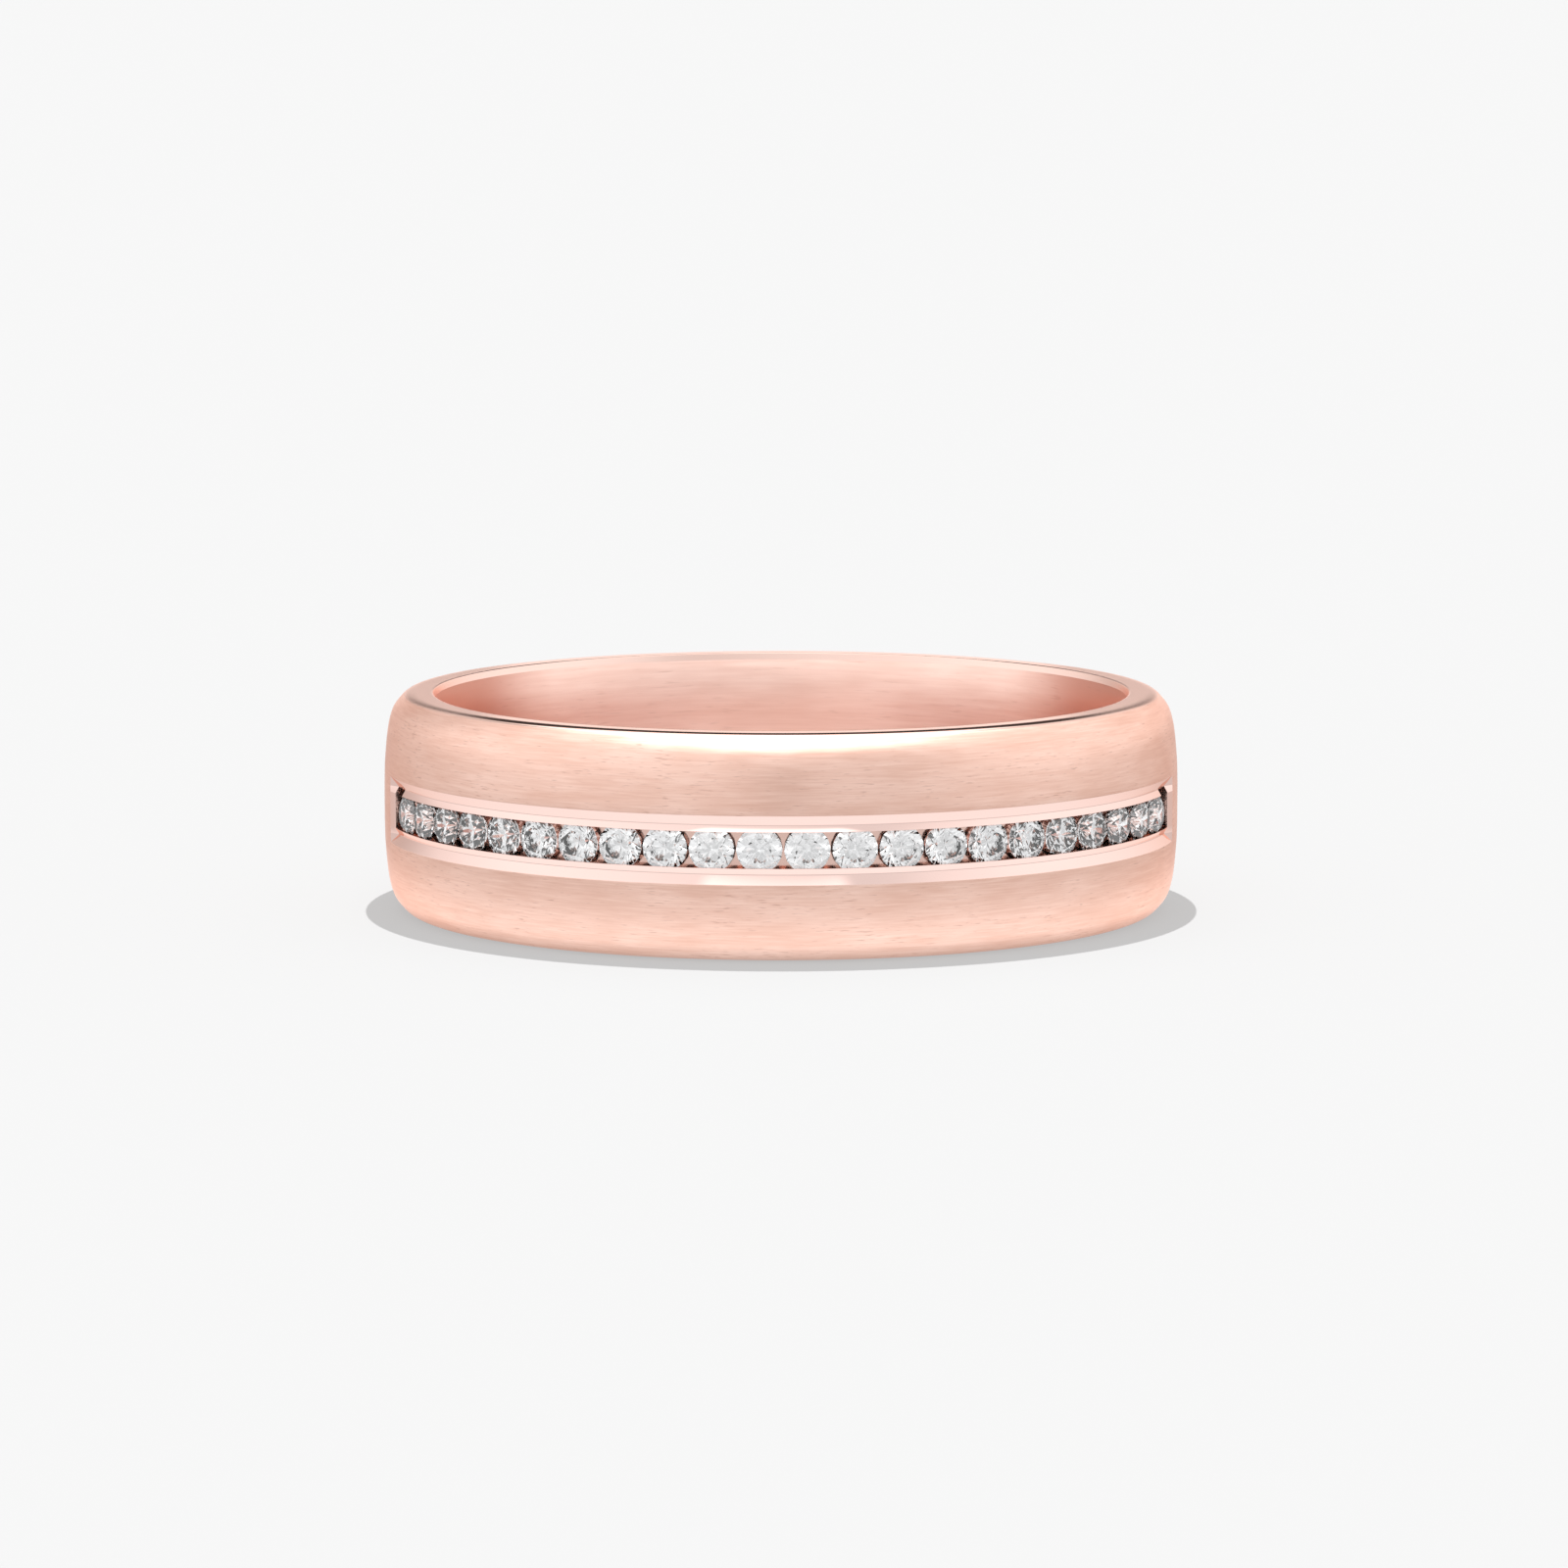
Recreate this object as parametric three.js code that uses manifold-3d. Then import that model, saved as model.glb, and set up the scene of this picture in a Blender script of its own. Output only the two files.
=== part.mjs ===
// Wedding band with a channel of round brilliants: one cast ring and twenty-two stones.
// Millimetres. +Z is the axis of the finger hole, the lower rim lies on z = 0 and the row of stones faces -Y.
import * as THREE from 'three';
import * as BufferGeometryUtils from 'three/addons/utils/BufferGeometryUtils.js';
import Module from 'manifold-3d';

// Band. Half sections are [height above the mid plane, radius].
const BAND_WIDTH = 6.4;
const MID_Z = BAND_WIDTH / 2;
const BAND_STEPS = 96;
const DOME = [
  [0, 11.69],
  [1.27, 11.665],
  [1.95, 11.605],
  [2.4, 11.53],
  [2.75, 11.41],
  [3.0, 11.21],
  [3.14, 11.0],
  [3.2, 10.84],
];
const COMFORT_BORE = [
  [3.2, 10.4],
  [3.1, 10.2],
  [2.8, 10.05],
  [2.1, 9.95],
  [0, 9.9],
];

// Polished pocket round the row: a bevel down from the dome to a valley, and up again to the lips
const POCKET_HALF_WIDTH = 0.975;
const POCKET_EDGE_RADIUS = 11.69;
const POCKET_HALF_ARC_DEG = 77.4;
const VALLEY_HALF_WIDTH = 0.694;
const VALLEY_RADIUS = 11.5;

// Stones
const STONE_COUNT = 22;
const STONE_PITCH_DEG = 6.72;
const STONE_RADIUS = 0.65;
const GIRDLE_SEAT_RADIUS = 11.44;
const STONE_TURN = 2.4;
const GIRDLE_HALF_THICKNESS = 0.018;
const TABLE_RADIUS = 0.57 * STONE_RADIUS;
const CROWN_HEIGHT = 0.3 * STONE_RADIUS;
const PAVILION_DEPTH = 0.86 * STONE_RADIUS;
const STAR_TIP_RADIUS = 0.5 * (STONE_RADIUS + TABLE_RADIUS * Math.cos(Math.PI / 8));
const LOWER_TIP_RADIUS = 0.24 * STONE_RADIUS;
const FOLD = 8;

// Channel
const CHANNEL_HALF_ARC_DEG = 75.5;
const LIP_HALF_GAP = 0.508;
const LIP_TOP_RADIUS = 11.61;
const LIP_UNDERSIDE_RADIUS = 11.575;
const WALL_HALF_GAP = 0.672;
const WALL_TOP_RADIUS = 11.465;
const FLOOR_RADIUS = 11.26;
const CLEAR_RADIUS = 12.2;

// The upper lip stops short of each end wall
const UPPER_LIP_END_DEG = 71.5;
const NOTCH_FOOT = 0.3;
const NOTCH_TOP = 0.7;

// Seat and drilled hole under each stone
const SEAT_CLEARANCE = 0.02;
const SEAT_MOUTH = 11.34;
const DRILL_RADIUS = 0.34;
const DRILL_SIDES = 12;
const INSIDE_BORE = 9.5;

const GOLD_COLOUR = 0xe3ab92;
const GOLD_ROUGHNESS = 0.28;
const DIAMOND_COLOUR = 0xf3f5f8;
const DIAMOND_ROUGHNESS = 0.04;

const wasm = await Module();
wasm.setup();

function directionAt(angleDeg) {
  const angle = THREE.MathUtils.degToRad(angleDeg);
  return new THREE.Vector3(Math.sin(angle), -Math.cos(angle), 0);
}

function geometryFrom(positions, indices) {
  const geometry = new THREE.BufferGeometry();
  geometry.setAttribute('position', new THREE.Float32BufferAttribute(positions, 3));
  geometry.setIndex(indices);
  return geometry;
}

function toManifold(geometry) {
  geometry.deleteAttribute('normal');
  geometry.deleteAttribute('uv');
  const merged = BufferGeometryUtils.mergeVertices(geometry, 1e-5);
  const mesh = new wasm.Mesh({
    numProp: 3,
    vertProperties: new Float32Array(merged.attributes.position.array),
    triVerts: new Uint32Array(merged.index.array),
  });
  return new wasm.Manifold(mesh);
}

function fromManifold(solid) {
  const mesh = solid.getMesh();
  return geometryFrom(Array.from(mesh.vertProperties), Array.from(mesh.triVerts));
}

// The full loop of a half section listed from the axis outward, and back below the mid plane.
function mirrored(halfSection) {
  const below = halfSection.map(([height, radius]) => [-height, radius]).reverse();
  return [...halfSection, ...below];
}

// A closed body: loops of [height, radius] points, one at each angle, joined round the axis.
function loftRound(sections, angles) {
  const outlines = sections.map((section) => {
    return section.map(([height, radius]) => new THREE.Vector2(radius, MID_Z + height)).reverse();
  });
  const count = outlines[0].length;
  const positions = [];
  const indices = [];
  angles.forEach((angle, station) => {
    const outward = directionAt(angle);
    for (const point of outlines[station]) {
      positions.push(outward.x * point.x, outward.y * point.x, point.y);
    }
  });
  for (let station = 0; station + 1 < angles.length; station += 1) {
    for (let index = 0; index < count; index += 1) {
      const here = station * count + index;
      const next = station * count + ((index + 1) % count);
      indices.push(here, here + count, next);
      indices.push(next, here + count, next + count);
    }
  }
  const last = (angles.length - 1) * count;
  for (const [a, b, c] of THREE.ShapeUtils.triangulateShape(outlines[0], [])) {
    indices.push(a, b, c);
  }
  for (const [a, b, c] of THREE.ShapeUtils.triangulateShape(outlines.at(-1), [])) {
    indices.push(last + a, last + c, last + b);
  }
  return toManifold(geometryFrom(positions, indices));
}

function sweptSection(section, angles) {
  return loftRound(angles.map(() => section), angles);
}

// The two ends of an arc and the band's own facet edges between them.
function stationsBetween(fromDeg, toDeg) {
  const step = 360 / BAND_STEPS;
  const stations = [fromDeg];
  for (let index = Math.ceil(fromDeg / step); index * step < toDeg; index += 1) {
    stations.push(index * step);
  }
  stations.push(toDeg);
  return stations;
}

function plainBand() {
  const half = [...DOME, ...COMFORT_BORE];
  const below = half.slice(1, -1).map(([height, radius]) => [-height, radius]);
  const loop = [...half, ...below.reverse(), half[0]];
  const profile = loop.map(([height, radius]) => new THREE.Vector2(radius, MID_Z + height));
  const lathe = new THREE.LatheGeometry(profile, BAND_STEPS);
  lathe.rotateX(Math.PI / 2);
  return toManifold(lathe);
}

// The polished pocket: two bevels and two valleys along the row, a ramp at each end.
function pocketVoid() {
  const bevel = (POCKET_HALF_WIDTH - VALLEY_HALF_WIDTH) / (POCKET_EDGE_RADIUS - VALLEY_RADIUS);
  const clearWidth = POCKET_HALF_WIDTH + (CLEAR_RADIUS - POCKET_EDGE_RADIUS) * bevel;
  const alongRow = mirrored([
    [LIP_HALF_GAP, LIP_TOP_RADIUS],
    [VALLEY_HALF_WIDTH, VALLEY_RADIUS],
    [clearWidth, CLEAR_RADIUS],
  ]);
  const atEnd = mirrored([
    [LIP_HALF_GAP, POCKET_EDGE_RADIUS],
    [POCKET_HALF_WIDTH, POCKET_EDGE_RADIUS],
    [clearWidth, CLEAR_RADIUS],
  ]);
  const between = stationsBetween(-CHANNEL_HALF_ARC_DEG, CHANNEL_HALF_ARC_DEG);
  const angles = [-POCKET_HALF_ARC_DEG, ...between, POCKET_HALF_ARC_DEG];
  return loftRound([atEnd, ...between.map(() => alongRow), atEnd], angles);
}

// The channel that the stones sit in, wider under the lips than between them.
function channelVoid() {
  const half = [
    [WALL_HALF_GAP, FLOOR_RADIUS],
    [WALL_HALF_GAP, WALL_TOP_RADIUS],
    [LIP_HALF_GAP, LIP_UNDERSIDE_RADIUS],
    [LIP_HALF_GAP, CLEAR_RADIUS],
  ];
  const angles = stationsBetween(-CHANNEL_HALF_ARC_DEG, CHANNEL_HALF_ARC_DEG);
  return sweptSection(mirrored(half), angles);
}

// The square corner between the end of the upper lip and an end wall.
function notchVoid(fromDeg, toDeg) {
  const section = [
    [NOTCH_TOP, FLOOR_RADIUS],
    [NOTCH_TOP, CLEAR_RADIUS],
    [NOTCH_FOOT, CLEAR_RADIUS],
    [NOTCH_FOOT, FLOOR_RADIUS],
  ];
  return sweptSection(section, [fromDeg, toDeg]);
}

// Carries a shape built with its axis on +Z out to a place on the row, +Z pointing outward.
function placeOnRow(geometry, angleDeg, radius) {
  const outward = directionAt(angleDeg);
  const up = new THREE.Vector3(0, 0, 1);
  const along = new THREE.Vector3().crossVectors(up, outward);
  const place = new THREE.Matrix4().makeBasis(along, up, outward);
  place.setPosition(outward.x * radius, outward.y * radius, MID_Z);
  return geometry.applyMatrix4(place);
}

// A cone that clears the pavilion and a hole on through to the bore.
function seatVoid(angleDeg) {
  const widening = STONE_RADIUS / PAVILION_DEPTH;
  const girdleBottom = GIRDLE_SEAT_RADIUS - GIRDLE_HALF_THICKNESS;
  const coneAt = (radius) => STONE_RADIUS - (girdleBottom - radius) * widening + SEAT_CLEARANCE;
  const coneEnd = girdleBottom - (STONE_RADIUS + SEAT_CLEARANCE - DRILL_RADIUS) / widening;
  const profile = [
    new THREE.Vector2(0, INSIDE_BORE),
    new THREE.Vector2(DRILL_RADIUS, INSIDE_BORE),
    new THREE.Vector2(DRILL_RADIUS, coneEnd),
    new THREE.Vector2(coneAt(SEAT_MOUTH), SEAT_MOUTH),
    new THREE.Vector2(0, SEAT_MOUTH),
  ];
  const lathe = new THREE.LatheGeometry(profile, DRILL_SIDES);
  lathe.rotateX(Math.PI / 2);
  return toManifold(placeOnRow(lathe, angleDeg, 0));
}

function stoneAngle(index) {
  return (index - (STONE_COUNT - 1) / 2) * STONE_PITCH_DEG;
}

function bandGeometry() {
  let solid = plainBand().subtract(pocketVoid()).subtract(channelVoid());
  solid = solid.subtract(notchVoid(-CHANNEL_HALF_ARC_DEG, -UPPER_LIP_END_DEG));
  solid = solid.subtract(notchVoid(UPPER_LIP_END_DEG, CHANNEL_HALF_ARC_DEG));
  for (let index = 0; index < STONE_COUNT; index += 1) {
    solid = solid.subtract(seatVoid(stoneAngle(index)));
  }
  return fromManifold(solid);
}

function ringOfPoints(count, radius, height, turn) {
  const points = [];
  for (let index = 0; index < count; index += 1) {
    const angle = ((index + turn) / count) * 2 * Math.PI;
    points.push([radius * Math.cos(angle), radius * Math.sin(angle), height]);
  }
  return points;
}

// A round brilliant about its own axis, girdle at height 0 and table upward.
function brilliantGeometry() {
  const inSlope = STAR_TIP_RADIUS * Math.cos(Math.PI / FOLD);
  const starHeight = (CROWN_HEIGHT * (STONE_RADIUS - inSlope)) / (STONE_RADIUS - TABLE_RADIUS);
  const lowerInset = (LOWER_TIP_RADIUS * Math.cos(Math.PI / FOLD)) / STONE_RADIUS;
  const top = GIRDLE_HALF_THICKNESS;
  const rings = {
    table: ringOfPoints(FOLD, TABLE_RADIUS, top + CROWN_HEIGHT, 0),
    star: ringOfPoints(FOLD, STAR_TIP_RADIUS, top + starHeight, 0.5),
    upper: ringOfPoints(2 * FOLD, STONE_RADIUS, top, 0),
    lower: ringOfPoints(2 * FOLD, STONE_RADIUS, -top, 0),
    tip: ringOfPoints(FOLD, LOWER_TIP_RADIUS, -top - PAVILION_DEPTH * (1 - lowerInset), 0.5),
    culet: [[0, 0, -top - PAVILION_DEPTH]],
  };
  const positions = [];
  const start = {};
  for (const [name, points] of Object.entries(rings)) {
    start[name] = positions.length / 3;
    points.forEach((point) => positions.push(...point));
  }
  const at = (name, index) => start[name] + (index + rings[name].length) % rings[name].length;
  const indices = [];
  for (let index = 1; index + 1 < FOLD; index += 1) {
    indices.push(at('table', 0), at('table', index), at('table', index + 1));
  }
  for (let index = 0; index < FOLD; index += 1) {
    const main = 2 * index;
    indices.push(at('table', index), at('star', index), at('table', index + 1));
    indices.push(at('table', index), at('upper', main), at('star', index));
    indices.push(at('table', index), at('star', index - 1), at('upper', main));
    indices.push(at('star', index), at('upper', main), at('upper', main + 1));
    indices.push(at('star', index), at('upper', main + 1), at('upper', main + 2));
    indices.push(at('tip', index), at('lower', main + 1), at('lower', main));
    indices.push(at('tip', index), at('lower', main + 2), at('lower', main + 1));
    indices.push(at('culet', 0), at('tip', index), at('lower', main));
    indices.push(at('culet', 0), at('lower', main), at('tip', index - 1));
  }
  for (let index = 0; index < 2 * FOLD; index += 1) {
    indices.push(at('upper', index), at('lower', index), at('lower', index + 1));
    indices.push(at('upper', index), at('lower', index + 1), at('upper', index + 1));
  }
  return geometryFrom(positions, indices);
}

function namedMesh(name, geometry, color, roughness, metalness) {
  geometry.computeVertexNormals();
  const material = new THREE.MeshStandardMaterial({ color, roughness, metalness });
  const mesh = new THREE.Mesh(geometry, material);
  mesh.name = name;
  return mesh;
}

function weddingBand() {
  const group = new THREE.Group();
  group.name = 'wedding_band';
  group.add(namedMesh('band', bandGeometry(), GOLD_COLOUR, GOLD_ROUGHNESS, 1));
  for (let index = 0; index < STONE_COUNT; index += 1) {
    const loose = brilliantGeometry().rotateZ(index * STONE_TURN);
    const stone = placeOnRow(loose, stoneAngle(index), GIRDLE_SEAT_RADIUS);
    const name = `diamond_${String(index + 1).padStart(2, '0')}`;
    group.add(namedMesh(name, stone, DIAMOND_COLOUR, DIAMOND_ROUGHNESS, 0));
  }
  return group;
}

export default weddingBand();
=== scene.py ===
"""A rose gold wedding band, satin outside, with a polished pocket and a channel of round brilliants."""
import math

import bmesh
import bpy
from mathutils import Matrix, Vector


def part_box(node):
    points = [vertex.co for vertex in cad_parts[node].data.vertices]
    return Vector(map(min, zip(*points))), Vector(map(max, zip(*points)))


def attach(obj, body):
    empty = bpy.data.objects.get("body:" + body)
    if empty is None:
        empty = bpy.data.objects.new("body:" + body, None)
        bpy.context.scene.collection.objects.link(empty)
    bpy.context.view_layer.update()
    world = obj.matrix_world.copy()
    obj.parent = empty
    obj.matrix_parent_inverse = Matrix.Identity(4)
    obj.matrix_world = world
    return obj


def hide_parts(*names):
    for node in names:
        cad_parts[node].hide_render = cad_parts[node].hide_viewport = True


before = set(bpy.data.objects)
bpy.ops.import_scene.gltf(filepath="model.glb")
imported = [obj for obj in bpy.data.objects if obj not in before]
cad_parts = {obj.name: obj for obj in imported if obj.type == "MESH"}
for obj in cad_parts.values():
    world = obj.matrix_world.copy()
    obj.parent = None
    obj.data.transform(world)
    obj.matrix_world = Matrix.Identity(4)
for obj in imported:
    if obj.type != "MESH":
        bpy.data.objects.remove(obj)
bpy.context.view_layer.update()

MM = 0.001
low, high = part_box("band")
MID_Z = (low[2] + high[2]) / 2 / MM

# The band's half section, [height above the mid plane, radius] in millimetres: the flat middle of the
# dome, the roll from the pocket's edge over the rim, and the bore.
DOME_MIDDLE = ((0.0, 11.69), (0.508, 11.688), (0.694, 11.685))
DOME_AND_RIM = (
    (0.975, 11.679), (1.27, 11.665), (1.95, 11.605), (2.4, 11.53), (2.75, 11.41), (3.02, 11.2),
    (3.12, 11.09), (3.17, 10.99), (3.193, 10.88), (3.2, 10.76), (3.2, 10.7), (3.2, 10.35), (3.2, 10.3),
)
COMFORT_BORE = (
    (3.19, 10.262), (3.165, 10.245), (3.0, 10.195), (2.7, 10.1), (2.2, 10.0), (1.4, 9.93), (0.0, 9.9),
)
STEPS_PER_SPAN = 4
BACK_STEPS = 200
ROW_STEPS = 216
NOTCH_STEPS = 6
MERGE_DISTANCE = 0.0005

# The polished pocket round the row, in millimetres and in degrees from the middle of the row.
POCKET_HALF_ARC = 77.4
POCKET_HALF_WIDTH = 0.975
VALLEY_HALF_WIDTH = 0.694
VALLEY_RADIUS = 11.5
VALLEY_ROUNDING = 0.03

# The channel and its two lips. The upper lip stops short of the channel's ends.
CHANNEL_HALF_ARC = 75.5
LIP_HALF_GAP = 0.508
LIP_TOP_RADIUS = 11.61
LIP_UNDERSIDE_RADIUS = 11.575
WALL_HALF_GAP = 0.672
WALL_TOP_RADIUS = 11.465
FLOOR_RADIUS = 11.26
UPPER_LIP_END = 71.5
EDGE_SOFTNESS = 0.012
CRISP_ANGLE = math.radians(14)
SHARP_ANGLE = math.radians(16)
MM_PER_DEGREE = math.radians(11.6)
NEAR = 0.004

# The stones' places and the drilled seats under them.
STONE_COUNT = 22
STONE_PITCH = 6.72
STONE_RADIUS = 0.65
PAVILION_DEPTH = 0.86 * STONE_RADIUS
GIRDLE_BOTTOM = 11.422
SEAT_CLEARANCE = 0.02
SEAT_MOUTH = 11.34
SEAT_SIDES = 40
DRILL_RADIUS = 0.34
INSIDE_BORE = 9.4

FINISH_COUNT = 6
SATIN, POLISHED, BORE, CHANNEL, SEAT, RIM = range(FINISH_COUNT)
RIM_OUTER = 11.08
RIM_INNER = 10.2


def smooth_curve(points, per_span):
    """A smooth line through a few points, so that no facet shows between them."""
    line = []
    ends = [points[0], *points, points[-1]]
    for before, start, end, after in zip(ends, ends[1:], ends[2:], ends[3:]):
        pull = (end - before) / 2
        bend = (2 * before - 5 * start + 4 * end - after) / 2
        twist = (3 * start - before - 3 * end + after) / 2
        for step in range(per_span):
            t = step / per_span
            line.append(start + pull * t + bend * t**2 + twist * t**3)
    return [*line, points[-1]]


def angle_of(co):
    return math.degrees(math.atan2(co.x, -co.y))


def height_of(co):
    return co.z - MID_Z


def radius_of(co):
    return math.hypot(co.x, co.y)


def set_place(vert, radius, height):
    scale = radius / radius_of(vert.co)
    vert.co.x *= scale
    vert.co.y *= scale
    vert.co.z = MID_Z + height


def spin_section(bm):
    """Spins the section round, with stations where the pocket, the channel and the upper lip end."""
    curved = [Vector(point) for point in (*DOME_AND_RIM, *COMFORT_BORE)]
    half = [*(Vector(point) for point in DOME_MIDDLE), *smooth_curve(curved, STEPS_PER_SPAN)]
    lower = [Vector((-height, radius)) for height, radius in reversed(half[1:-1])]
    verts = [bm.verts.new((0, -radius, MID_Z + height)) for height, radius in [*half, *lower]]
    edges = [bm.edges.new(pair) for pair in zip(verts, verts[1:] + verts[:1])]
    start = Matrix.Rotation(math.radians(-POCKET_HALF_ARC), 3, "Z")
    bmesh.ops.rotate(bm, verts=verts, cent=(0, 0, 0), matrix=start)
    ramp = (POCKET_HALF_ARC - CHANNEL_HALF_ARC, 1)
    notch = (CHANNEL_HALF_ARC - UPPER_LIP_END, NOTCH_STEPS)
    row = (2 * UPPER_LIP_END, ROW_STEPS)
    back = (360 - 2 * POCKET_HALF_ARC, BACK_STEPS)
    section = [*verts, *edges]
    for arc, steps in (ramp, notch, row, notch, ramp, back):
        spun = bmesh.ops.spin(
            bm, geom=section, cent=(0, 0, 0), axis=(0, 0, 1), angle=math.radians(arc), steps=steps
        )
        section = spun["geom_last"]
    bmesh.ops.remove_doubles(bm, verts=bm.verts, dist=MERGE_DISTANCE)
    bmesh.ops.recalc_face_normals(bm, faces=bm.faces)


def lip_slope(height):
    """The radius of the lip's outside, which falls from its inner edge to the valley."""
    share = (abs(height) - LIP_HALF_GAP) / (VALLEY_HALF_WIDTH - LIP_HALF_GAP)
    return LIP_TOP_RADIUS + max(share, 0) * (VALLEY_RADIUS - LIP_TOP_RADIUS)


def outside_vert(bm, angle, height):
    """The corner on the band's outside nearest to a place on the row."""
    outside = (vert for vert in bm.verts if radius_of(vert.co) > FLOOR_RADIUS)

    def distance(vert):
        aside = abs(angle_of(vert.co) - angle) * MM_PER_DEGREE
        return aside + abs(height_of(vert.co) - height)

    return min(outside, key=distance)


def press_pocket(bm):
    """Presses the valleys and the lips down out of the dome and mitres the pocket's corners."""
    for vert in bm.verts:
        height = height_of(vert.co)
        on_row = abs(angle_of(vert.co)) < CHANNEL_HALF_ARC + NEAR and radius_of(vert.co) > FLOOR_RADIUS
        if on_row and abs(height) < VALLEY_HALF_WIDTH + NEAR:
            set_place(vert, lip_slope(height), height)
    for side in (-1, 1):
        for level in (-1, 1):
            foot = outside_vert(bm, side * CHANNEL_HALF_ARC, level * VALLEY_HALF_WIDTH)
            head = outside_vert(bm, side * POCKET_HALF_ARC, level * POCKET_HALF_WIDTH)
            bmesh.ops.connect_vert_pair(bm, verts=[foot, head])


def is_open(face):
    """Whether a face lies over the channel or over a notch past the upper lip."""
    middle = face.calc_center_median()
    height = height_of(middle)
    reach = abs(angle_of(middle))
    if radius_of(middle) < FLOOR_RADIUS or reach > CHANNEL_HALF_ARC:
        return False
    between_lips = abs(height) < LIP_HALF_GAP
    in_notch = 0 < height < VALLEY_HALF_WIDTH and reach > UPPER_LIP_END
    return between_lips or in_notch


def push_in(bm, faces, radius, widening):
    """Extrudes a patch of the channel towards the bore, wider between the lips as it goes."""
    patch = {part for face in faces for part in (face, *face.edges, *face.verts)}
    pushed = bmesh.ops.extrude_face_region(bm, geom=list(patch))["geom"]
    for vert in (item for item in pushed if isinstance(item, bmesh.types.BMVert)):
        height = height_of(vert.co)
        if abs(height) < LIP_HALF_GAP + NEAR:
            height *= widening
        set_place(vert, min(radius, radius_of(vert.co)), height)
    return [item for item in pushed if isinstance(item, bmesh.types.BMFace)]


def sink_channel(bm):
    """The opening between the lips, the undercut that takes the girdles, and the floor."""
    faces = [face for face in bm.faces if is_open(face)]
    faces = push_in(bm, faces, LIP_UNDERSIDE_RADIUS, 1.0)
    faces = push_in(bm, faces, WALL_TOP_RADIUS, WALL_HALF_GAP / LIP_HALF_GAP)
    push_in(bm, faces, FLOOR_RADIUS, 1.0)
    bmesh.ops.recalc_face_normals(bm, faces=bm.faces)


def finish_of(face):
    """Which finish a face of the band has."""
    middle = face.calc_center_median()
    radius = radius_of(middle)
    height = height_of(middle)
    reach = abs(angle_of(middle))
    if radius < RIM_INNER:
        return BORE
    if radius < RIM_OUTER:
        return RIM
    in_row = abs(height) < VALLEY_HALF_WIDTH + NEAR and reach < CHANNEL_HALF_ARC + NEAR
    if in_row and radius < lip_slope(height) - NEAR:
        return CHANNEL
    if abs(height) < POCKET_HALF_WIDTH and reach < POCKET_HALF_ARC:
        return POLISHED
    return SATIN


def soften_edges(bm):
    """Rounds the two valleys and breaks the crisp edges of the pocket and the lips."""
    def in_valley(vert):
        across = abs(abs(height_of(vert.co)) - VALLEY_HALF_WIDTH) < NEAR
        return across and abs(radius_of(vert.co) - VALLEY_RADIUS) < NEAR

    def on_outside(vert):
        across = abs(height_of(vert.co)) < POCKET_HALF_WIDTH + NEAR
        return across and radius_of(vert.co) > LIP_UNDERSIDE_RADIUS + NEAR

    def creased(test, convex):
        return [
            edge for edge in bm.edges
            if edge.is_manifold and edge.is_convex == convex and all(test(vert) for vert in edge.verts)
            and edge.calc_face_angle() > CRISP_ANGLE
        ]

    bm.normal_update()
    bmesh.ops.bevel(
        bm, geom=creased(in_valley, False), offset=VALLEY_ROUNDING, segments=3, profile=0.5,
        affect="EDGES", clamp_overlap=True, material=-1,
    )
    bm.normal_update()
    bmesh.ops.bevel(
        bm, geom=creased(on_outside, True), offset=EDGE_SOFTNESS, segments=2, profile=0.5,
        affect="EDGES", clamp_overlap=True, material=-1,
    )


def mesh_from(bm, name):
    mesh = bpy.data.meshes.new(name)
    bm.to_mesh(mesh)
    bm.free()
    return mesh


def band_body():
    bm = bmesh.new()
    spin_section(bm)
    press_pocket(bm)
    sink_channel(bm)
    for face in bm.faces:
        face.material_index = finish_of(face)
    return mesh_from(bm, "gold_band")


def seat_tools():
    """The setter's drill and bur for each stone: a hole through to the bore and a cone above it."""
    bm = bmesh.new()
    steepness = PAVILION_DEPTH / STONE_RADIUS
    mouth = STONE_RADIUS + SEAT_CLEARANCE - (GIRDLE_BOTTOM - SEAT_MOUTH) / steepness
    foot = GIRDLE_BOTTOM - (STONE_RADIUS + SEAT_CLEARANCE - DRILL_RADIUS) * steepness
    outline = (
        (0, INSIDE_BORE), (DRILL_RADIUS, INSIDE_BORE), (DRILL_RADIUS, foot), (mouth, SEAT_MOUTH),
        (0, SEAT_MOUTH),
    )
    for index in range(STONE_COUNT):
        verts = [bm.verts.new((0, -radius, MID_Z + across)) for across, radius in outline]
        edges = [bm.edges.new(pair) for pair in zip(verts, verts[1:])]
        bmesh.ops.spin(
            bm, geom=[*verts, *edges], cent=(0, 0, MID_Z), axis=(0, 1, 0), angle=2 * math.pi,
            steps=SEAT_SIDES, use_merge=True,
        )
        tool = [vert for vert in bm.verts if not vert.tag]
        turn = math.radians((index - (STONE_COUNT - 1) / 2) * STONE_PITCH)
        bmesh.ops.rotate(bm, verts=tool, cent=(0, 0, 0), matrix=Matrix.Rotation(turn, 3, "Z"))
        for vert in tool:
            vert.tag = True
    bmesh.ops.remove_doubles(bm, verts=bm.verts, dist=MERGE_DISTANCE)
    bmesh.ops.recalc_face_normals(bm, faces=bm.faces)
    for face in bm.faces:
        face.material_index = SEAT
    return mesh_from(bm, "seats")


def add_object(name, mesh):
    piece = bpy.data.objects.new(name, mesh)
    bpy.context.scene.collection.objects.link(piece)
    return piece


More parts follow.
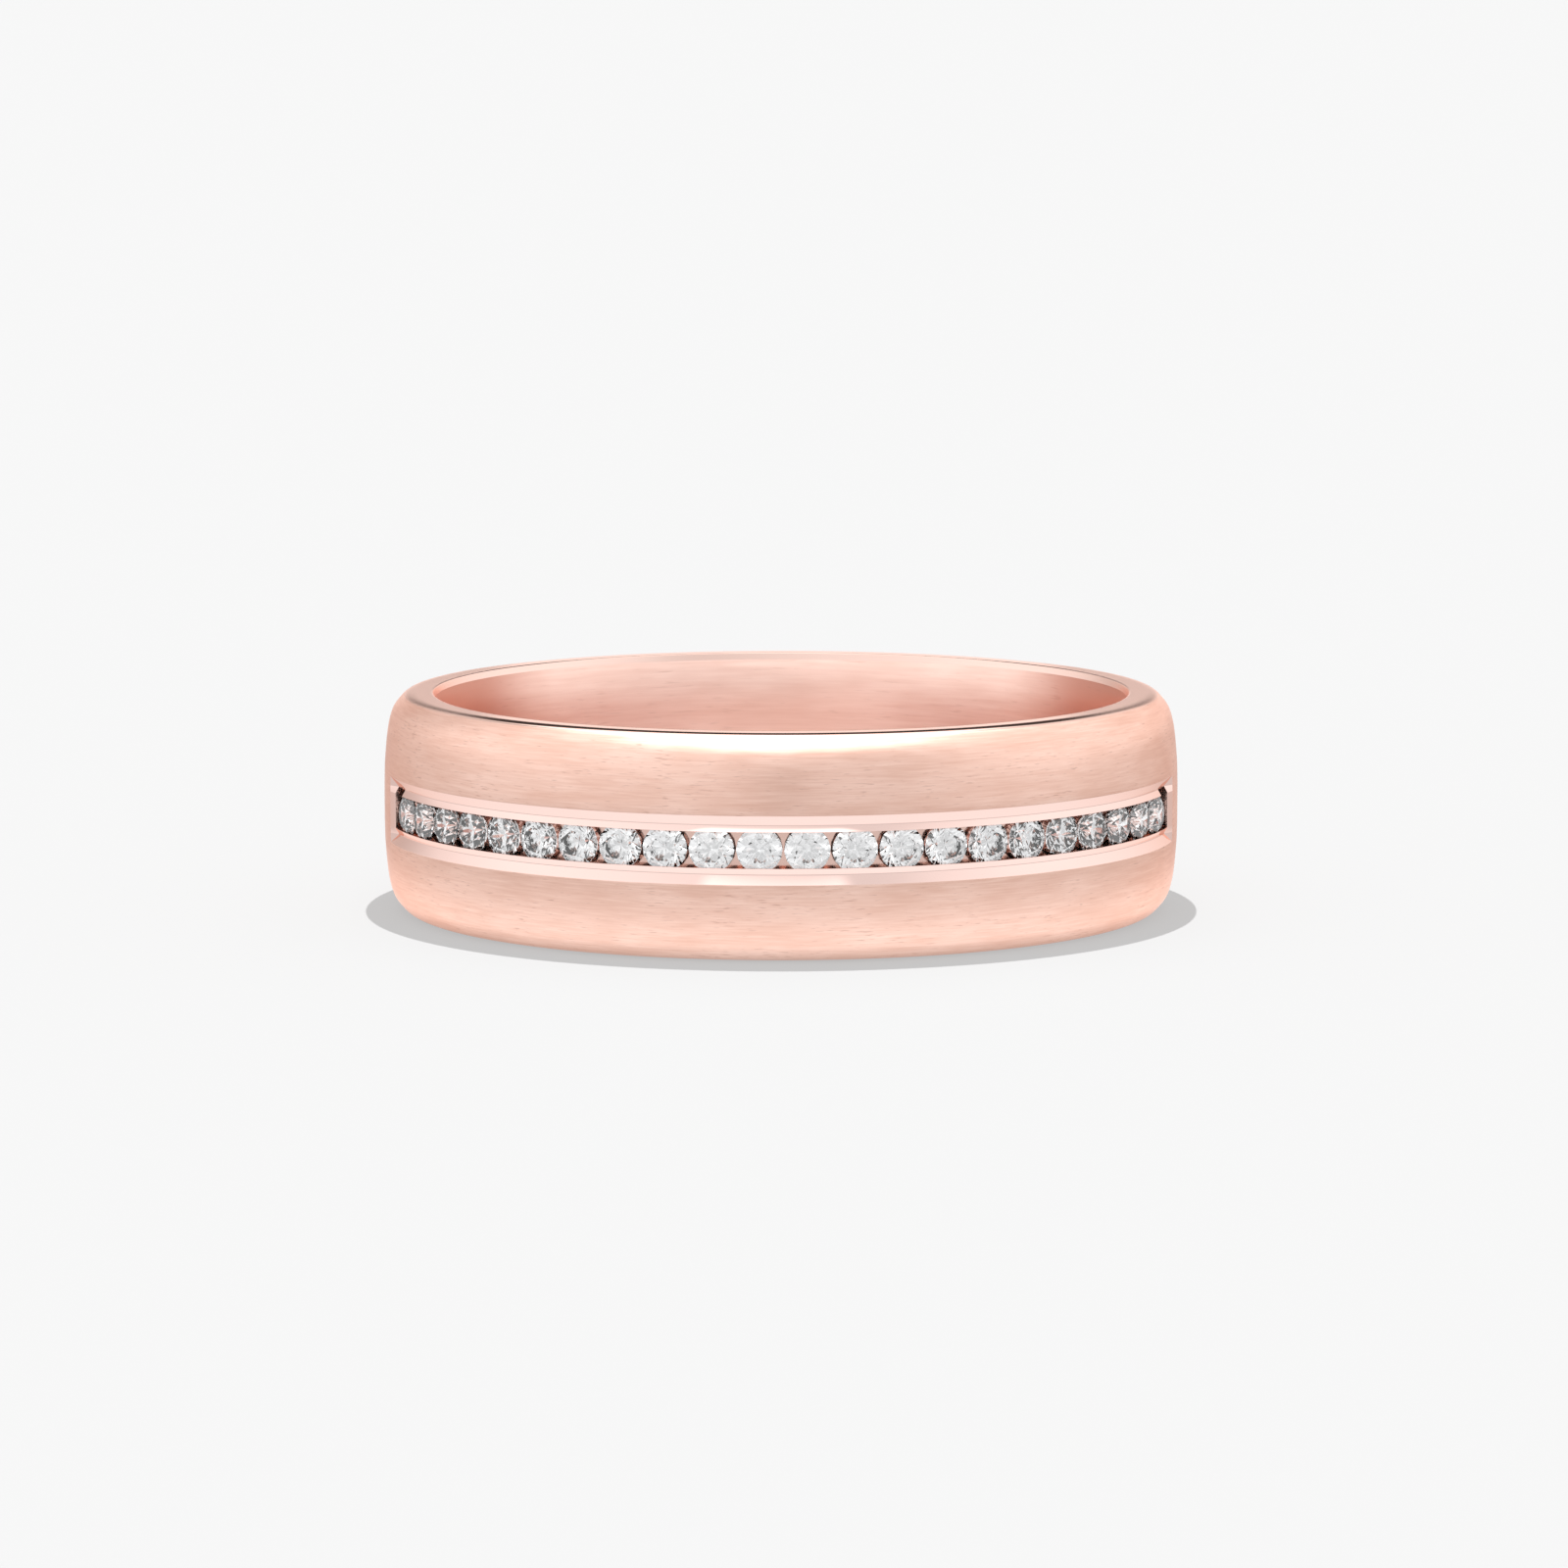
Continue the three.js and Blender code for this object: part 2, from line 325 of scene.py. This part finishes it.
def build_band(finishes):
    band = add_object("gold_band", band_body())
    tools = add_object("seats", seat_tools())
    for piece in (band, tools):
        for material in finishes:
            piece.data.materials.append(material)
    cut = band.modifiers.new("seats", "BOOLEAN")
    cut.operation = "DIFFERENCE"
    cut.solver = "EXACT"
    cut.object = tools
    evaluated = band.evaluated_get(bpy.context.evaluated_depsgraph_get())
    bm = bmesh.new()
    bm.from_mesh(bpy.data.meshes.new_from_object(evaluated))
    soften_edges(bm)
    band.modifiers.clear()
    bpy.data.objects.remove(tools)
    seated = mesh_from(bm, "gold_band")
    for material in finishes:
        seated.materials.append(material)
    band.data = seated
    seated.transform(Matrix.Scale(MM, 4))
    seated.shade_smooth()
    seated.set_sharp_from_angle(angle=SHARP_ANGLE)
    return band


class Wiring:
    """Small helpers that join maths nodes in one tree."""

    def __init__(self, tree):
        self.tree = tree

    def math(self, operation, a, b=None):
        node = self.tree.nodes.new("ShaderNodeMath")
        node.operation = operation
        for socket, value in zip(node.inputs, (a, b)):
            if isinstance(value, (int, float)):
                socket.default_value = value
            elif value is not None:
                self.tree.links.new(value, socket)
        return node.outputs[0]

    def ramp(self, value, start, end):
        """Nothing at start, one at end, smooth between."""
        node = self.tree.nodes.new("ShaderNodeMapRange")
        node.interpolation_type = "SMOOTHSTEP"
        self.tree.links.new(value, node.inputs["Value"])
        node.inputs["From Min"].default_value = start
        node.inputs["From Max"].default_value = end
        return node.outputs["Result"]

    def band(self, value, low, high, soft):
        """One between low and high, falling to nothing over a soft margin on each side."""
        rise = self.ramp(value, low - soft, low + soft)
        fall = self.ramp(value, high + soft, high - soft)
        return self.math("MULTIPLY", rise, fall)

    def around(self, turn, stops):
        """Brightness read from a list of stops round the full circle."""
        peak = max(radiance for degrees, radiance in stops)
        node = self.tree.nodes.new("ShaderNodeValToRGB")
        node.color_ramp.interpolation = "B_SPLINE"
        elements = node.color_ramp.elements
        while len(elements) < len(stops):
            elements.new(1.0)
        for element, (degrees, radiance) in zip(elements, stops):
            share = radiance / peak
            element.position = degrees / 360 + 0.5
            element.color = (share, share, share, 1)
        place = self.math("ADD", self.math("DIVIDE", turn, 2 * math.pi), 0.5)
        self.tree.links.new(place, node.inputs[0])
        return self.math("MULTIPLY", node.outputs["Color"], peak)

    def mixed(self, factor, first, second):
        """A colour between two; each is a fixed colour or another node's."""
        mix = self.tree.nodes.new("ShaderNodeMix")
        mix.data_type = "RGBA"
        self.tree.links.new(factor, mix.inputs["Factor"])
        for socket, colour in zip((mix.inputs[6], mix.inputs[7]), (first, second)):
            if isinstance(colour, tuple):
                socket.default_value = (*colour, 1)
            else:
                self.tree.links.new(colour, socket)
        return mix.outputs[2]

    def coordinates(self):
        """The place on the piece, along X, Y and Z in metres."""
        place = self.tree.nodes.new("ShaderNodeTexCoord")
        split = self.tree.nodes.new("ShaderNodeSeparateXYZ")
        self.tree.links.new(place.outputs["Object"], split.inputs[0])
        return split.outputs


# The abrasive's strokes. The patches have their own cells to the millimetre; the broad strokes and the
# scratches take shares of the run and the spacing that a finish gives.
FINE_SHARE = 0.65
BROAD_RUN = 0.4
BROAD_SPACING = 0.35
PATCH_RUN = 0.45
PATCH_SPACING = 1.1
SCRATCH_RUN = 2.6
SCRATCH_SPACING = 1.3
SCRATCH_CROWDING = 0.35
SCRATCH_FROM = 0.6
SCRATCH_TO = 0.82


def hand_brushing():
    """Fine lines that run round the ring, short scratches and soft patches, each from nothing to one."""
    group = bpy.data.node_groups.new("hand_brushing", "ShaderNodeTree")
    for name in ("Spacing", "Run"):
        group.interface.new_socket(name, in_out="INPUT", socket_type="NodeSocketFloat")
    for name in ("Lines", "Scratches", "Patches"):
        group.interface.new_socket(name, in_out="OUTPUT", socket_type="NodeSocketFloat")
    w = Wiring(group)
    inputs = group.nodes.new("NodeGroupInput").outputs
    outputs = group.nodes.new("NodeGroupOutput").inputs
    x, y, z = (w.math("DIVIDE", along, MM) for along in w.coordinates())
    radius = w.math("SQRT", w.math("ADD", w.math("MULTIPLY", x, x), w.math("MULTIPLY", y, y)))

    def streaks(run, spacing, detail):
        """Noise drawn out round the ring, and close-set over its width and its thickness."""
        stretched = group.nodes.new("ShaderNodeCombineXYZ")
        for socket, value, scale in zip(stretched.inputs, (x, y, z), (run, run, spacing)):
            group.links.new(w.math("MULTIPLY", value, scale), socket)
        noise = group.nodes.new("ShaderNodeTexNoise")
        noise.noise_dimensions = "4D"
        noise.inputs["Scale"].default_value = 1
        noise.inputs["Detail"].default_value = detail
        group.links.new(stretched.outputs[0], noise.inputs["Vector"])
        group.links.new(w.math("MULTIPLY", radius, spacing), noise.inputs["W"])
        return noise.outputs["Fac"]

    run = inputs["Run"]
    spacing = inputs["Spacing"]
    fine = w.math("MULTIPLY", streaks(run, spacing, 3), FINE_SHARE)
    longer = w.math("MULTIPLY", run, BROAD_RUN)
    wider = w.math("MULTIPLY", spacing, BROAD_SPACING)
    broad = w.math("MULTIPLY", streaks(longer, wider, 2), 1 - FINE_SHARE)
    patches = streaks(PATCH_RUN, PATCH_SPACING, 2)
    shorter = w.math("MULTIPLY", run, SCRATCH_RUN)
    closer = w.math("MULTIPLY", spacing, SCRATCH_SPACING)
    crowding = w.math("MULTIPLY", w.math("SUBTRACT", patches, 0.5), SCRATCH_CROWDING)
    scratched = w.math("ADD", streaks(shorter, closer, 1), crowding)
    group.links.new(w.math("ADD", fine, broad), outputs["Lines"])
    group.links.new(w.ramp(scratched, SCRATCH_FROM, SCRATCH_TO), outputs["Scratches"])
    group.links.new(patches, outputs["Patches"])
    return group


GRAZING_TINT = (1.0, 0.78, 0.7, 1)
SCRATCH_COLOUR = (0.35, 0.16, 0.12)
BRUSH_DEPTH = 0.001 * MM
PATCH_SHARE = 0.4
TONE_FROM = 0.3
TONE_TO = 0.7
SATIN_GLOSS_SPREAD = 0.12
HAIRLINE_SPACING = 9
HAIRLINE_RUN = 0.5
HAIRLINE_GLOSS_SPREAD = 0.04
# How far to the side the bore's painted shade and the rims' duller finish begin and are whole.
SIDE_SHADE_REACH = (6.8 * MM, 9.2 * MM)
SIDE_DULL_REACH = (7.2 * MM, 9.6 * MM)
DIAMOND_IOR = 2.417
DIAMOND_CLOUDS_PER_MM = 0.6


def new_gold(name, brush, spacing, run):
    """A metal shader with its brushing group, both without their own colours yet."""
    material = bpy.data.materials.new(name)
    material.use_nodes = True
    tree = material.node_tree
    shader = tree.nodes["Principled BSDF"]
    shader.inputs["Metallic"].default_value = 1
    shader.inputs["Specular Tint"].default_value = GRAZING_TINT
    strokes = tree.nodes.new("ShaderNodeGroup")
    strokes.node_tree = brush
    strokes.inputs["Spacing"].default_value = spacing
    strokes.inputs["Run"].default_value = run
    return material, Wiring(tree), shader, strokes.outputs


def satin_gold(name, brush, colours, roughness, spacing, run, scratched, side_shade=None):
    """Brushed gold: the lines change its gloss, the patches its colour, and the scratches darken it. A
    side shade, where given, is painted shade that deepens the colour towards the ring's two sides.
    """
    material, w, shader, strokes = new_gold(name, brush, spacing, run)
    lines, scratches, patches = strokes
    patchy = w.math("MULTIPLY", patches, PATCH_SHARE)
    tone = w.math("ADD", patchy, w.math("MULTIPLY", lines, 1 - PATCH_SHARE))
    colour = w.mixed(w.ramp(tone, TONE_FROM, TONE_TO), *colours)
    if side_shade:
        # Painted shade: the colour deepens towards the ring's two sides.
        aside = w.math("ABSOLUTE", w.coordinates()["X"])
        colour = w.mixed(w.ramp(aside, *SIDE_SHADE_REACH), colour, side_shade)
    colour = w.mixed(w.math("MULTIPLY", scratches, scratched), colour, SCRATCH_COLOUR)
    w.tree.links.new(colour, shader.inputs["Base Color"])
    wander = w.math("MULTIPLY", w.math("SUBTRACT", lines, 0.5), SATIN_GLOSS_SPREAD)
    w.tree.links.new(w.math("ADD", wander, roughness), shader.inputs["Roughness"])
    bump = w.tree.nodes.new("ShaderNodeBump")
    bump.inputs["Distance"].default_value = BRUSH_DEPTH
    bump.inputs["Strength"].default_value = 1
    w.tree.links.new(w.math("SUBTRACT", lines, scratches), bump.inputs["Height"])
    w.tree.links.new(bump.outputs["Normal"], shader.inputs["Normal"])
    return material


def polished_gold(name, brush, colours, roughness, side_roughness=None):
    """Wheel-polished gold with faint hairlines, duller at the ring's two sides where it is given so."""
    material, w, shader, strokes = new_gold(name, brush, HAIRLINE_SPACING, HAIRLINE_RUN)
    w.tree.links.new(w.mixed(strokes["Patches"], *colours), shader.inputs["Base Color"])
    hairlines = w.math("MULTIPLY", w.math("SUBTRACT", strokes["Lines"], 0.5), HAIRLINE_GLOSS_SPREAD)
    gloss = w.math("ADD", hairlines, roughness)
    if side_roughness:
        aside = w.ramp(w.math("ABSOLUTE", w.coordinates()["X"]), *SIDE_DULL_REACH)
        gloss = w.math("ADD", gloss, w.math("MULTIPLY", aside, side_roughness - roughness))
    w.tree.links.new(gloss, shader.inputs["Roughness"])
    return material


def diamond():
    """Colourless stone with the faintest change of tint from place to place."""
    material = bpy.data.materials.new("diamond")
    material.use_nodes = True
    w = Wiring(material.node_tree)
    shader = w.tree.nodes["Principled BSDF"]
    shader.inputs["Roughness"].default_value = 0.0
    shader.inputs["IOR"].default_value = DIAMOND_IOR
    shader.inputs["Transmission Weight"].default_value = 1.0
    place = w.tree.nodes.new("ShaderNodeTexCoord")
    clouds = w.tree.nodes.new("ShaderNodeTexNoise")
    clouds.inputs["Scale"].default_value = DIAMOND_CLOUDS_PER_MM / MM
    w.tree.links.new(place.outputs["Object"], clouds.inputs["Vector"])
    tint = w.mixed(clouds.outputs["Fac"], (1.0, 1.0, 1.0), (0.97, 0.98, 1.0))
    w.tree.links.new(tint, shader.inputs["Base Color"])
    return material


brush = hand_brushing()
finishes = [None] * FINISH_COUNT
finishes[SATIN] = satin_gold(
    "satin_gold", brush, ((0.81, 0.5, 0.4), (0.97, 0.68, 0.58)), 0.32, 22, 1.1, 0.4
)
finishes[POLISHED] = polished_gold("polished_gold", brush, ((0.91, 0.66, 0.6), (0.93, 0.7, 0.64)), 0.06)
# The bore's last colour is painted shade that darkens it towards the ring's two sides.
finishes[BORE] = satin_gold(
    "bore_gold", brush, ((0.8, 0.53, 0.45), (0.9, 0.65, 0.57)), 0.38, 12, 0.6, 0.2, (0.56, 0.27, 0.21)
)
finishes[CHANNEL] = polished_gold("channel_gold", brush, ((0.88, 0.6, 0.52), (0.91, 0.64, 0.56)), 0.15)
# The seats' near-white colour is painted light that brightens the stones over them; it is not the gold's
# own colour.
finishes[SEAT] = polished_gold("seat_gold_painted_bright", brush, ((1.0, 0.94, 0.92), (1.0, 0.97, 0.96)), 0.1)
finishes[RIM] = polished_gold("rim_gold", brush, ((0.9, 0.64, 0.56), (0.93, 0.68, 0.6)), 0.08, 0.26)

gold_band = build_band(finishes)
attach(gold_band, "root")
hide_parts("band")

stone_finish = diamond()
for name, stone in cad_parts.items():
    if name.startswith("diamond"):
        stone.data.materials.clear()
        stone.data.materials.append(stone_finish)

# The studio: a translucent table, a softbox overhead, pale walls with dark flags, and one small lamp.
# Widths of the softbox are shares of its height over the table; the last number is its soft edge.
FLOOR_SIZE = 6.0
FLOOR_GAP = 0.01 * MM
FLOOR_WHITE = 0.11
FLOOR_GLOW = 0.455
FLOOR_MIRRORED = 0.75
# The pool of light round the ring and the shade at its foot are painted into what the metal mirrors of
# the table.
POOL_LIFT = 0.44
POOL_HEART = 11.9 * MM
POOL_EDGE = 20 * MM
FOOT_INNER = 10.5 * MM
FOOT_OUTER = 11.2 * MM
FOOT_SOFTNESS = 0.5 * MM
FOOT_SHADE_DEPTH = 0.6

SOFTBOX = 1.95
SOFTBOX_ACROSS = (-0.45, 0.37, 0.06)
SOFTBOX_ALONG = (-0.9, 1.2, 0.16)
# Brightness of the walls, [degrees from the front, positive to the right; radiance].
SURROUND = (
    (-180, 1.22), (-165, 0.85), (-145, 0.54), (-124, 1.05), (-85, 1.3), (-45, 1.12), (0, 1.0), (30, 0.82),
    (50, 1.02), (80, 1.25), (120, 1.17), (145, 1.06), (165, 0.95), (180, 1.22),
)
FLAG_HALF_WIDTH = math.radians(16)
FLAG_FOOT = math.radians(9.5)
FLAG_HEAD = math.radians(50)
FLAG_DEPTH = 0.95
STAND_HALF_WIDTH = math.radians(6)
STAND_HEAD = math.radians(15)
STAND_DEPTH = 0.4
FLAG_SIDE_SOFTNESS = 0.05
FLAG_EDGE_SOFTNESS = 0.03
STAND_SIDE_SOFTNESS = 0.04
STAND_EDGE_SOFTNESS = 0.05
LEAST_RISE = 0.001

LAMP_HEIGHT = 100 * MM
LAMP_SET_BACK = 10 * MM
LAMP_SIZE = 0.5 * MM
LAMP_POWER = 1.2

CAMERA_DISTANCE = 199 * MM
CAMERA_LENS = 154.7
CAMERA_SENSOR = 36
NEAREST_SEEN = 0.01
FARTHEST_SEEN = 20
ELEVATION = math.radians(7.25)
AZIMUTH = math.radians(-0.35)
AIM = Vector((0.087 * MM, 0, (MID_Z + 0.40) * MM))


def table_sheet():
    """A pale translucent sheet lit from above and beneath. The metal mirrors it without the lamp's
    shadow, with a painted pool of light round the ring and painted shade at its foot.
    """
    material = bpy.data.materials.new("pale_table")
    material.use_nodes = True
    w = Wiring(material.node_tree)
    nodes, links = w.tree.nodes, w.tree.links
    sheet = nodes["Principled BSDF"]
    sheet.inputs["Base Color"].default_value = (FLOOR_WHITE, FLOOR_WHITE, FLOOR_WHITE, 1)
    sheet.inputs["Roughness"].default_value = 1
    sheet.inputs["Specular IOR Level"].default_value = 0
    sheet.inputs["Emission Color"].default_value = (1, 1, 1, 1)
    sheet.inputs["Emission Strength"].default_value = FLOOR_GLOW
    place = w.coordinates()
    squares = (w.math("MULTIPLY", place[axis], place[axis]) for axis in ("X", "Y"))
    away = w.math("SQRT", w.math("ADD", *squares))
    # Painted light: a pool of light round the ring and painted shade at its foot, in what the metal
    # mirrors.
    pool = w.math("MULTIPLY", w.ramp(away, POOL_EDGE, POOL_HEART), POOL_LIFT)
    foot_shade = w.math("MULTIPLY", w.band(away, FOOT_INNER, FOOT_OUTER, FOOT_SOFTNESS), FOOT_SHADE_DEPTH)
    strength = w.math("MULTIPLY", w.math("ADD", pool, FLOOR_MIRRORED), w.math("SUBTRACT", 1.0, foot_shade))
    mirrored = nodes.new("ShaderNodeEmission")
    links.new(strength, mirrored.inputs["Strength"])
    path = nodes.new("ShaderNodeLightPath")
    choice = nodes.new("ShaderNodeMixShader")
    links.new(path.outputs["Is Camera Ray"], choice.inputs["Fac"])
    links.new(mirrored.outputs[0], choice.inputs[1])
    links.new(sheet.outputs[0], choice.inputs[2])
    links.new(choice.outputs[0], nodes["Material Output"].inputs["Surface"])
    return material


def lay_table():
    bm = bmesh.new()
    bmesh.ops.create_grid(bm, x_segments=1, y_segments=1, size=FLOOR_SIZE)
    bmesh.ops.translate(bm, verts=bm.verts, vec=(0, 0, -FLOOR_GAP))
    table = add_object("table", mesh_from(bm, "table"))
    table.data.materials.append(table_sheet())


def build_studio():
    """The softbox overhead, the walls round the table and the dark flags that stand before them."""
    world = bpy.data.worlds.new("studio")
    bpy.context.scene.world = world
    world.use_nodes = True
    w = Wiring(world.node_tree)
    way = w.tree.nodes.new("ShaderNodeTexCoord")
    split = w.tree.nodes.new("ShaderNodeSeparateXYZ")
    w.tree.links.new(way.outputs["Generated"], split.inputs[0])
    x, y, z = split.outputs
    level = w.math("SQRT", w.math("ADD", w.math("MULTIPLY", x, x), w.math("MULTIPLY", y, y)))
    height = w.math("ARCTAN2", z, level)
    from_back = w.math("ABSOLUTE", w.math("ARCTAN2", x, y))
    from_front = w.math("ARCTAN2", x, w.math("MULTIPLY", y, -1.0))
    upward = w.math("MAXIMUM", z, LEAST_RISE)
    across = w.band(w.math("DIVIDE", x, upward), *SOFTBOX_ACROSS)
    along = w.band(w.math("DIVIDE", y, upward), *SOFTBOX_ALONG)
    softbox = w.math("MULTIPLY", across, along)

    def shaded(light, mask, depth):
        return w.math("MULTIPLY", light, w.math("SUBTRACT", 1.0, w.math("MULTIPLY", mask, depth)))

    flag_height = w.band(height, FLAG_FOOT, FLAG_HEAD, FLAG_EDGE_SOFTNESS)
    flag_width = w.band(from_back, -1.0, FLAG_HALF_WIDTH, FLAG_SIDE_SOFTNESS)
    flag = w.math("MULTIPLY", flag_width, flag_height)
    stand_width = w.band(from_front, -STAND_HALF_WIDTH, STAND_HALF_WIDTH, STAND_SIDE_SOFTNESS)
    stand_height = w.band(height, 0.0, STAND_HEAD, STAND_EDGE_SOFTNESS)
    stand = w.math("MULTIPLY", stand_width, stand_height)
    walls = shaded(w.around(from_front, SURROUND), stand, STAND_DEPTH)
    walls = shaded(shaded(walls, flag, FLAG_DEPTH), softbox, 1.0)
    light = w.math("ADD", walls, w.math("MULTIPLY", softbox, SOFTBOX))
    background = w.tree.nodes["Background"]
    background.inputs["Color"].default_value = (1, 1, 1, 1)
    w.tree.links.new(light, background.inputs["Strength"])


def hang_lamp():
    """A small lamp over the ring, whose light lies evenly over the table instead of falling off."""
    light = bpy.data.lights.new("lamp", "POINT")
    light.shadow_soft_size = LAMP_SIZE
    light.energy = LAMP_POWER
    light.use_nodes = True
    w = Wiring(light.node_tree)
    path = w.tree.nodes.new("ShaderNodeLightPath")
    reach = w.math("DIVIDE", path.outputs["Ray Length"], LAMP_HEIGHT)
    w.tree.links.new(w.math("POWER", reach, 3.0), w.tree.nodes["Emission"].inputs["Strength"])
    lamp = add_object("lamp", light)
    lamp.location = (0, LAMP_SET_BACK, LAMP_HEIGHT)


def set_camera():
    data = bpy.data.cameras.new("camera")
    data.sensor_width = CAMERA_SENSOR
    data.lens = CAMERA_LENS
    data.clip_start = NEAREST_SEEN
    data.clip_end = FARTHEST_SEEN
    camera = add_object("camera", data)
    level = math.cos(ELEVATION)
    towards = Vector((math.sin(AZIMUTH) * level, -math.cos(AZIMUTH) * level, math.sin(ELEVATION)))
    camera.location = AIM + towards * CAMERA_DISTANCE
    camera.rotation_mode = "QUATERNION"
    camera.rotation_quaternion = (-towards).to_track_quat("-Z", "Y")
    bpy.context.scene.camera = camera


lay_table()
build_studio()
hang_lamp()
set_camera()
bpy.context.scene.view_settings.view_transform = "Standard"
